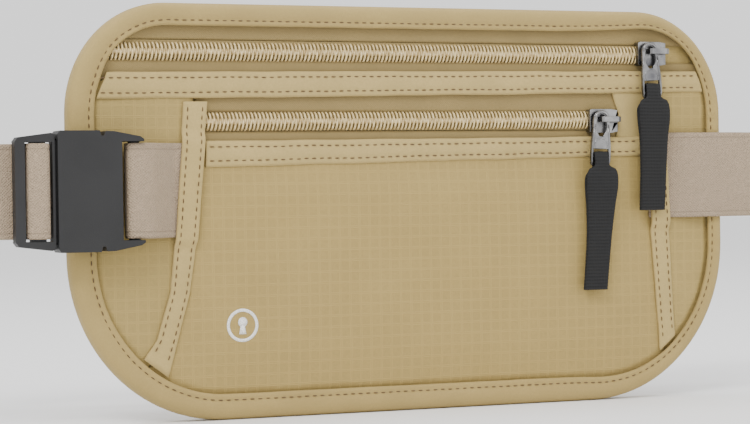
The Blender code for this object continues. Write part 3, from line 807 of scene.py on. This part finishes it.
def coil(name, left, right, z, nodes, sag, pitch=1.55):
    points = []
    faces = []
    count = int((right - left) / pitch)
    profile = ((3.35, -0.5, -0.32), (3.2, -1.3, -0.22), (2.5, -1.95, -0.08), (1.3, -2.15, 0.12),
               (0.2, -2.1, 0.3), (-0.75, -1.7, 0.42), (-0.95, -1.0, 0.46))
    radius = 0.42
    for n in range(count):
        for side in (1, -1):
            x = left + (n + 0.5 + (0.25 if side > 0 else -0.25)) * pitch
            mid = z + sag[0] + (sag[1] - sag[0]) * n / count
            base = len(points)
            path = [Vector((x + dx, y, mid + side * h)) for h, y, dx in profile]
            for i, p in enumerate(path):
                run = (path[min(i + 1, 6)] - path[max(i - 1, 0)]).normalized()
                across = Vector((1, 0, 0)) - run * run.x
                across.normalize()
                out = run.cross(across)
                size = radius * (1.0 if 0 < i < 5 else 0.85)
                for k in range(6):
                    turn = math.pi * k / 3
                    points.append(tuple(p + across * size * math.cos(turn) + out * size * math.sin(turn)))
            for i in range(6):
                for k in range(6):
                    a = base + i * 6 + k
                    b = base + i * 6 + (k + 1) % 6
                    faces.append((a, b, b + 6, a + 6))
            faces.append(tuple(base + k for k in range(6)))
            faces.append(tuple(base + 36 + k for k in range(6)))
    piece(name, points, faces, "coil", "pouch", nodes)
    bed = [(left, -0.9, z - 3.4), (left, -0.9, z + 3.4), (left, 0.25, z + 3.4), (left, 0.25, z - 3.4)]
    far = [(right, y, h) for _, y, h in bed]
    points, faces = tube([bed, far])
    uvs = [(p[0], p[2]) for p in points]
    piece(name + "_bed", points, faces, "zip_tape", "pouch", (), uvs, False)


low, high = span("upper_coil")
coil("coil_teeth_upper", low.x, high.x, UP_Z, ["upper_coil"], (-1.0, -0.5))
low, high = span("lower_coil")
coil("coil_teeth_lower", low.x, high.x, LO_Z, ["lower_coil"], (0.0, 0.6))

# ---------------------------------------------------------------- strap


def catmull(points, step):
    """A smooth path through points, at about equal steps."""
    out = []
    pts = [Vector(p) for p in points]
    for i in range(len(pts) - 1):
        p0 = pts[max(i - 1, 0)]
        p1, p2 = pts[i], pts[i + 1]
        p3 = pts[min(i + 2, len(pts) - 1)]
        count = max(int((p2 - p1).length / step), 1)
        for k in range(count):
            t = k / count
            out.append(0.5 * ((2 * p1) + (p2 - p0) * t + (2 * p0 - 5 * p1 + 4 * p2 - p3) * t * t
                              + (3 * p1 - p0 - 3 * p2 + p3) * t ** 3))
    out.append(pts[-1])
    return out


def ribbon(name, path, width, thick, look, nodes, seed, body="pouch"):
    """Webbing with soft edges along a path, its width upright."""
    half = width / 2
    section = [(-half, 0), (-half + 0.25, 0.42), (-half + 1.2, 0.5), (-half + 2.1, 0.38), (-half + 3, 0.5)]
    section += [(-half * 0.4, 0.5), (0, 0.5), (half * 0.4, 0.5)]
    section += [(half - 3, 0.5), (half - 2.1, 0.38), (half - 1.2, 0.5), (half - 0.25, 0.42), (half, 0)]
    section += [(a, -b) for a, b in section[-2:0:-1]]
    rings = []
    uvs = []
    gone = 0.0
    for i, here in enumerate(path):
        run = (path[min(i + 1, len(path) - 1)] - path[max(i - 1, 0)]).normalized()
        up = (Vector((0, 0, 1)) - run * run.z).normalized()
        face = run.cross(up)
        if i:
            gone += (here - path[i - 1]).length
        ring = []
        for a, b in section:
            wave = 0.1 * ripple(gone, a * 0.3, 22, seed)
            height = a + 0.15 * ripple(gone, math.copysign(9, a), 15, seed)
            p = here + up * height + face * (b * thick + wave)
            ring.append(tuple(p))
            uvs.append((gone, a))
        rings.append(ring)
    points, faces = tube(rings)
    return piece(name, points, faces, look, body, nodes, uvs)


fold_z = 8.6
rear_y = 60.0
path = [(x, y, fold_z) for x, y in (
    (-172, -6.35), (-162, -6.35), (-154, -6.35), (-151.6, -6.8), (-150.5, -8.1), (-150.35, -9.6),
    (-150.35, -12.6),
    (-150.9, -13.8), (-152.2, -14.3), (-154.2, -14.35), (-156.2, -14.3), (-157.6, -13.8), (-158.2, -12.6),
    (-158.3, -10), (-158.9, -8.8), (-160.4, -8.05), (-166, -7.95), (-171, -7.95))]
for i in range(1, 14):
    turn = math.pi * i / 14
    path.append((-171 - 33.975 * math.sin(turn), -7.95 + 33.975 * (1 - math.cos(turn)), fold_z))
path += [(-171, rear_y, fold_z), (-150, rear_y, fold_z), (-130, rear_y, fold_z)]
rest_z = -79.5 + 17.5
for i in range(13):
    share = i / 12
    path.append((-124 + 114 * share, rear_y, fold_z + smooth(share) * (rest_z - fold_z)))
for i in range(13):
    share = i / 12
    path.append((38 + 114 * share, rear_y, rest_z + smooth(share) * (12.1 - rest_z)))
path += [(160, rear_y, 12.1), (172, rear_y, 12.1)]
for i in range(13, 0, -1):
    turn = math.pi * i / 14
    path.append((172 + 33 * math.sin(turn), -6 + 33 * (1 - math.cos(turn)), 12.1))
path += [(x, y, 12.1) for x, y in ((172, -6), (160, -6), (140, -5.9), (130, -5.6), (124, -4.9), (118, -3.6),
                                  (113.6, -3.05), (105.4, -3.05))]
strap = ribbon("waist_strap", catmull(path, 1.6), 35, 1.25, "webbing",
               ["strap_fold", "strap_left", "strap_rear", "strap_right"], 2.0, body=None)
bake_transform(strap)

stub = [(x, y, 8.4) for x, y in (
    (-106.5, -7), (-110, -7.6), (-114, -8.25), (-118.4, -8.25), (-119.8, -8.8), (-120.2, -10.2),
    (-120.2, -11.4),
    (-119.8, -12.8), (-118.4, -13.35), (-116.6, -13.35), (-114.2, -13), (-111, -11.9), (-108.2, -10.1),
    (-105.4, -7.8), (-102.4, -5.4), (-100.2, -3.7), (-98.4, -3.15), (-91.6, -3.05))]
ribbon("stub_webbing", catmull(stub, 0.6), 35.6, 1.25, "webbing", ["stub_strap"], 5.0)

# ---------------------------------------------------------------- hard parts


def refined(node, name, look, body, width, segments=3):
    """A copy of a CAD piece with rounded edges."""
    mesh = frame["nodes"][node].data.copy()
    mesh.name = name
    work = bmesh.new()
    work.from_mesh(mesh)
    bmesh.ops.remove_doubles(work, verts=work.verts, dist=2e-6)
    bmesh.ops.dissolve_limit(work, angle_limit=math.radians(1), verts=work.verts, edges=work.edges)
    sharp = [e for e in work.edges if len(e.link_faces) == 2 and e.calc_face_angle(0) > math.radians(28)]
    bmesh.ops.bevel(work, geom=sharp, offset=width * MM, segments=segments, profile=0.5, affect="EDGES",
                    clamp_overlap=True)
    work.to_mesh(mesh)
    work.free()
    mesh.materials.clear()
    mesh.materials.append(MAT[look])
    for polygon in mesh.polygons:
        polygon.use_smooth = True
    obj = bpy.data.objects.new(name, mesh)
    bpy.context.scene.collection.objects.link(obj)
    normals = obj.modifiers.new("Normals", "WEIGHTED_NORMAL")
    normals.keep_sharp = True
    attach(obj, body)
    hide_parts(node)
    return obj


refined("buckle_female", "buckle_sleeve", "plastic", "pouch", 0.7)
refined("buckle_male", "buckle_frame", "plastic", "strap_end", 0.6)
refined("prong_upper", "buckle_prong_upper", "plastic", "prong_upper", 0.5)
refined("prong_lower", "buckle_prong_lower", "plastic", "prong_lower", 0.5)
for which in ("upper", "lower"):
    refined("slider_" + which, "zip_slider_" + which, "metal", "slider_" + which, 0.3)
    refined("puller_" + which, "zip_pull_" + which, "metal", "puller_" + which, 0.3)


def pull_tape(which, length, lean, foot, pivot_x, pivot_z):
    """A doubled ribbed tape round the pull's bar."""
    front = ((length, -7.9, foot), (34, -8, foot + 0.2), (21, -8.1, 6.0), (13, -8.4, 6.9), (8.2, -8.3, 7.1))
    front += ((5.2, -8, 6.2), (3.5, -7.7, 3.4), (0, -7.5, 3.2))
    over = ((-1.25, -7.1, 3.1), (-1.7, -6.1, 3.1), (-1.25, -5.1, 3.1), (0, -4.75, 3.1), (3, -4.85, 3.1))
    back = ((4.1, -5.4, 3.3), (5.6, -6.2, 5.2), (8.2, -6.6, 7.1), (13, -6.8, 6.9), (21, -6.8, 6.0))
    back += ((34, -6.8, foot + 0.2), (length, -6.8, foot))
    keys = [Vector(p) for p in front + over + back]
    path = catmull([tuple(p) for p in keys], 0.3)
    rings = []
    uvs = []
    gone = 0.0
    for i, p in enumerate(path):
        v, y, half = p
        run = path[min(i + 1, len(path) - 1)] - path[max(i - 1, 0)]
        run = Vector((run.x, run.y, 0)).normalized()
        if i:
            gone += math.hypot(p.x - path[i - 1].x, p.y - path[i - 1].y)
        rib = 0.14 * math.sin(2 * math.pi * gone / 1.35)
        bend = max(v - 6, 0)
        x = pivot_x + lean * bend + 0.35 * math.sin(bend / 13)
        z = pivot_z - v
        curl = smooth(bend / 8)
        ring = []
        for s, t in ((-1, 0), (-0.97, 0.8), (-0.5, 1), (0, 1), (0.5, 1), (0.97, 0.8),
                     (1, 0), (0.97, -0.8), (0.5, -1), (0, -1), (-0.5, -1), (-0.97, -0.8)):
            h = (0.42 + rib) * t
            hollow = curl * (0.9 * smooth((-0.1 - s) / 0.9) + 0.35 * math.cos(1.9 * s + 0.2) - 0.2)
            ring.append((x + half * s, y + hollow + h * run.x, z + h * run.y))
            uvs.append((gone, half * s))
        rings.append(ring)
    points, faces = tube(rings)
    piece("pull_webbing_" + which, points, faces, "pull_tape", "tape_" + which,
          ["pull_tape_" + which], uvs)


def pivot(joint):
    """A joint's place in the pouch's millimetres, as (x, z)."""
    x, _, z = next(j["pos_m"] for j in frame["joints"] if j["name"] == joint)
    return (x - MID_X) / MM, (z - MID_Z) / MM


UPPER_PIVOT = pivot("puller_upper_swing")
LOWER_PIVOT = pivot("puller_lower_swing")
PULL_TILT = math.radians(3)

low, high = span("pull_tape_upper")
pull_tape("upper", 50, -0.025, 5.3, UPPER_PIVOT[0] + 0.8, high.z - 2.1)
low, high = span("pull_tape_lower")
pull_tape("lower", 54, -0.07, 4.9, LOWER_PIVOT[0] - 0.8, high.z - 2.1)



def relief(which, pivot_x, pivot_z, tilt):
    """Raised rims on a zip pull: an arch round its plaque and a roll round its eye."""
    arch = [(-2.75, 11.6), (-2.9, 10.2), (-2.6, 8.9), (-1.5, 8.0), (0, 7.7)]
    arch += [(-u, v) for u, v in arch[-2::-1]]
    roll = [(2.95 * math.cos(a), -2.95 * math.sin(a)) for a in [math.pi * k / 12 for k in range(13)]]
    left_leg = [(-3.1, 2), (-3.35, 6), (-3.9, 10), (-4.0, 14), (-3.95, 17), (-3.7, 18.6)]
    right_leg = [(-u, v) for u, v in left_leg]
    turn_c, turn_s = math.cos(tilt), math.sin(tilt)
    points = []
    faces = []
    for line, size in ((arch, 0.34), (roll, 0.62), (left_leg, 0.5), (right_leg, 0.5)):
        keys = []
        for u, v in line:
            keys.append((pivot_x + u * turn_c + v * turn_s, -6.75, pivot_z + u * turn_s - v * turn_c))
        rings = []
        for i, p in enumerate(keys):
            run = (Vector(keys[min(i + 1, len(keys) - 1)]) - Vector(keys[max(i - 1, 0)])).normalized()
            across = run.cross(Vector((0, 1, 0))).normalized()
            ends = 0.4 if i in (0, len(keys) - 1) else 1.0
            ring = []
            for k in range(8):
                turn = math.pi * k / 4
                out = across * math.cos(turn) + Vector((0, -0.75, 0)) * math.sin(turn)
                ring.append(tuple(Vector(p) + out * size * ends))
            rings.append(ring)
        more, links = tube(rings)
        faces += [tuple(len(points) + k for k in face) for face in links]
        points += more
    piece("zip_pull_relief_" + which, points, faces, "metal", "puller_" + which)


relief("upper", *UPPER_PIVOT, PULL_TILT)
relief("lower", *LOWER_PIVOT, -PULL_TILT)

# ---------------------------------------------------------------- printed mark


def printed_mark(cx, cz):
    """A generic keyhole in a ring."""
    points = []
    faces = []

    def add(loop_out, loop_in=None):
        base = len(points)
        for x, z in loop_out:
            points.append((cx + x, pocket_front(cx + x, cz + z) - 0.12, cz + z))
        if loop_in:
            for x, z in loop_in:
                points.append((cx + x, pocket_front(cx + x, cz + z) - 0.12, cz + z))
            n = len(loop_out)
            for k in range(n):
                faces.append((base + k, base + (k + 1) % n, base + n + (k + 1) % n, base + n + k))
        else:
            faces.append(tuple(range(base, base + len(loop_out))))

    def circle(radius, lift=0.0, steps=40):
        turns = [2 * math.pi * k / steps for k in range(steps)]
        return [(radius * math.cos(turn), lift + radius * math.sin(turn)) for turn in turns]

    add(circle(6.4), circle(5.2))
    add(circle(1.9, 1.2, 24))
    add([(-0.8, 0.0), (-1.5, -3.4), (1.5, -3.4), (0.8, 0.0)])
    obj = piece("printed_mark", points, faces, "print", "pouch")
    thick = obj.modifiers.new("Ink", "SOLIDIFY")
    thick.thickness = 0.00006
    return obj


printed_mark(-73, -43.5)

frame["nodes"]["shield_lining"].data.materials.clear()
frame["nodes"]["shield_lining"].data.materials.append(MAT["lining"])

# ---------------------------------------------------------------- studio


def area(name, where, target, size, power, colour=(1, 1, 1)):
    lamp = bpy.data.lights.new(name, "AREA")
    lamp.shape = "RECTANGLE"
    lamp.size, lamp.size_y = size
    lamp.energy = power
    lamp.color = colour
    obj = bpy.data.objects.new(name, lamp)
    obj.location = where
    obj.rotation_euler = (Vector(target) - Vector(where)).to_track_quat("-Z", "Y").to_euler()
    bpy.context.scene.collection.objects.link(obj)


area("key", (-0.9, -1.0, 1.3), (0, 0, 0.08), (0.7, 0.7), 20)
area("fill", (1.2, -1.2, 0.7), (0, 0, 0.08), (1.2, 1.2), 7)
area("top", (0, 0.1, 1.6), (0, 0, 0.05), (1.4, 1.0), 10)

world = bpy.data.worlds.new("studio")
bpy.context.scene.world = world
world.use_nodes = True
world.node_tree.nodes["Background"].inputs[0].default_value = (1, 1, 1, 1)
world.node_tree.nodes["Background"].inputs[1].default_value = 1.35

floor_mesh = bpy.data.meshes.new("floor")
reach = 6
corners = [(x * reach, y * reach, 0) for x, y in ((-1, -1), (1, -1), (1, 1), (-1, 1))]
floor_mesh.from_pydata(corners, [], [(0, 1, 2, 3)])
floor = bpy.data.objects.new("floor", floor_mesh)
bpy.context.scene.collection.objects.link(floor)
floor_look = Look("pale_floor", roughness=0.8)
floor_look.colour((0.86, 0.86, 0.86))
floor_mesh.materials.append(floor_look.mat)

camera_data = bpy.data.cameras.new("camera")
camera_data.lens = 110.4
camera_data.sensor_width = 36
camera = bpy.data.objects.new("camera", camera_data)
bpy.context.scene.collection.objects.link(camera)
CAMERA_YAW = math.radians(-22.776)
CAMERA_PITCH = math.radians(-0.344)
CAMERA_ROLL = math.radians(-0.871)
turned = Matrix.Rotation(CAMERA_YAW, 4, "Z")
turned = turned @ Matrix.Rotation(math.pi / 2 + CAMERA_PITCH, 4, "X")
turned = turned @ Matrix.Rotation(CAMERA_ROLL, 4, "Z")
camera.matrix_world = Matrix.Translation(at(-365.9, -833.5, 4.3)) @ turned
bpy.context.scene.camera = camera
